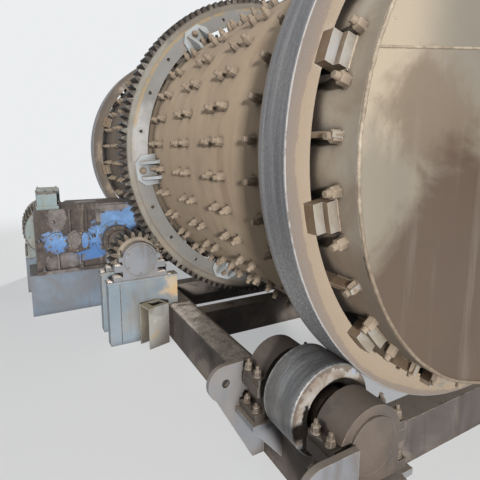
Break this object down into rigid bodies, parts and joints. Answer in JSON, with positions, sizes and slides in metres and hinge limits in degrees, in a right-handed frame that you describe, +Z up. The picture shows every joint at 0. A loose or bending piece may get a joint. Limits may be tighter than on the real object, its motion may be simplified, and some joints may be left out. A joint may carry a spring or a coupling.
{
  "type": "ball mill",
  "caption": "Bolted-lining ball mill drum on riding rings and support rollers, turned by an open girth gear, a pinion, a parallel-shaft reducer and a motor.",
  "frame": {"origin": "floor level under the drum axis at the middle of the drum's length, the centre of the four anchor bolts", "axes": "+Z up, +Y along the drum axis from the feed end to the discharge end, the drive stands on the -X side"},
  "size_m": [3.5697, 5.56, 2.9999],
  "materials": {
    "dusty_shell_steel": "matt, coated with pale brown mineral dust",
    "stained_head_plate": "matt plate with brown stains",
    "polished_ring_steel": "rolled bright tread, dusty side faces",
    "block_steel": "dusty grey plate",
    "gear_cast_steel": "greasy teeth, dusty faces",
    "web_plate_steel": "machined grey plate with dust",
    "roller_steel": "rolled tread, tan dusty faces",
    "dark_machine_iron": "dark, greasy and dusty",
    "dusty_beam_steel": "matt paint under settled dust",
    "seat_steel": "grey paint with dust",
    "pedestal_paint": "pale blue-grey paint, dusty and chipped",
    "housing_paint": "pale grey paint",
    "blue_paint": "blue paint under oil and dust",
    "teal_paint": "grey-green paint"
  },
  "bodies": {
    "base": {"left_beam": "dusty_beam_steel", "right_beam": "dusty_beam_steel", "cross_beams": "dusty_beam_steel", "anchor_plates": "dusty_beam_steel", "near_left_seat": "seat_steel", "near_right_seat": "seat_steel", "far_left_seat": "seat_steel", "far_right_seat": "seat_steel", "near_bearing_bases": "dark_machine_iron", "near_bearing_caps": "dark_machine_iron", "far_bearing_bases": "dark_machine_iron", "far_bearing_caps": "dark_machine_iron", "near_pinion_pedestal": "pedestal_paint", "far_pinion_pedestal": "pedestal_paint", "pinion_bearing_bases": "housing_paint", "pinion_bearing_caps": "housing_paint", "pinion_end_cover": "housing_paint", "channel_bracket": "pedestal_paint", "reducer_pedestal": "pedestal_paint", "reducer_lower_case": "blue_paint", "reducer_upper_case": "blue_paint", "reducer_covers": "blue_paint", "inspection_cover": "teal_paint", "motor_pedestal": "pedestal_paint", "motor_body": "teal_paint", "motor_end_shield": "teal_paint", "motor_fan_cowl": "teal_paint", "terminal_box": "teal_paint", "fast_coupling": "dark_machine_iron"},
    "drum": {"drum_shell": "dusty_shell_steel", "feed_head": "stained_head_plate", "discharge_head": "stained_head_plate", "feed_neck": "dusty_shell_steel", "discharge_neck": "dusty_shell_steel", "near_riding_ring": "polished_ring_steel", "far_riding_ring": "polished_ring_steel", "near_ring_pads": "block_steel", "far_ring_pads": "block_steel", "near_stop_blocks": "block_steel", "far_stop_blocks": "block_steel", "girth_gear": "gear_cast_steel", "gear_web": "web_plate_steel", "gear_brackets": "web_plate_steel"},
    "pinion_shaft": {"pinion": "gear_cast_steel", "slow_coupling": "dark_machine_iron"},
    "near_left_wheel": {"near_left_roller": "roller_steel"},
    "near_right_wheel": {"near_right_roller": "roller_steel"},
    "far_left_wheel": {"far_left_roller": "roller_steel"},
    "far_right_wheel": {"far_right_roller": "roller_steel"}
  },
  "joints": [
    {"name": "drum_turn", "type": "hinge", "parent": "base", "child": "drum", "pos_m": [0, 0, 1.6], "axis": [0, 1, 0], "continuous": true},
    {"name": "pinion_turn", "type": "hinge", "parent": "base", "child": "pinion_shaft", "pos_m": [-1.30679, 0, 0.71191], "axis": [0, 1, 0], "continuous": true},
    {"name": "near_left_turn", "type": "hinge", "parent": "base", "child": "near_left_wheel", "pos_m": [-1.03274, -2.165, 0.51172], "axis": [0, 1, 0], "continuous": true},
    {"name": "near_right_turn", "type": "hinge", "parent": "base", "child": "near_right_wheel", "pos_m": [1.03274, -2.165, 0.51172], "axis": [0, 1, 0], "continuous": true},
    {"name": "far_left_turn", "type": "hinge", "parent": "base", "child": "far_left_wheel", "pos_m": [-1.03274, 2.165, 0.51172], "axis": [0, 1, 0], "continuous": true},
    {"name": "far_right_turn", "type": "hinge", "parent": "base", "child": "far_right_wheel", "pos_m": [1.03274, 2.165, 0.51172], "axis": [0, 1, 0], "continuous": true}
  ],
  "couplings": [
    {"joint": "pinion_turn", "follows": "drum_turn", "ratio": -6.9},
    {"joint": "near_left_turn", "follows": "drum_turn", "ratio": -6.1429},
    {"joint": "near_right_turn", "follows": "drum_turn", "ratio": -6.1429},
    {"joint": "far_left_turn", "follows": "drum_turn", "ratio": -6.1429},
    {"joint": "far_right_turn", "follows": "drum_turn", "ratio": -6.1429}
  ]
}
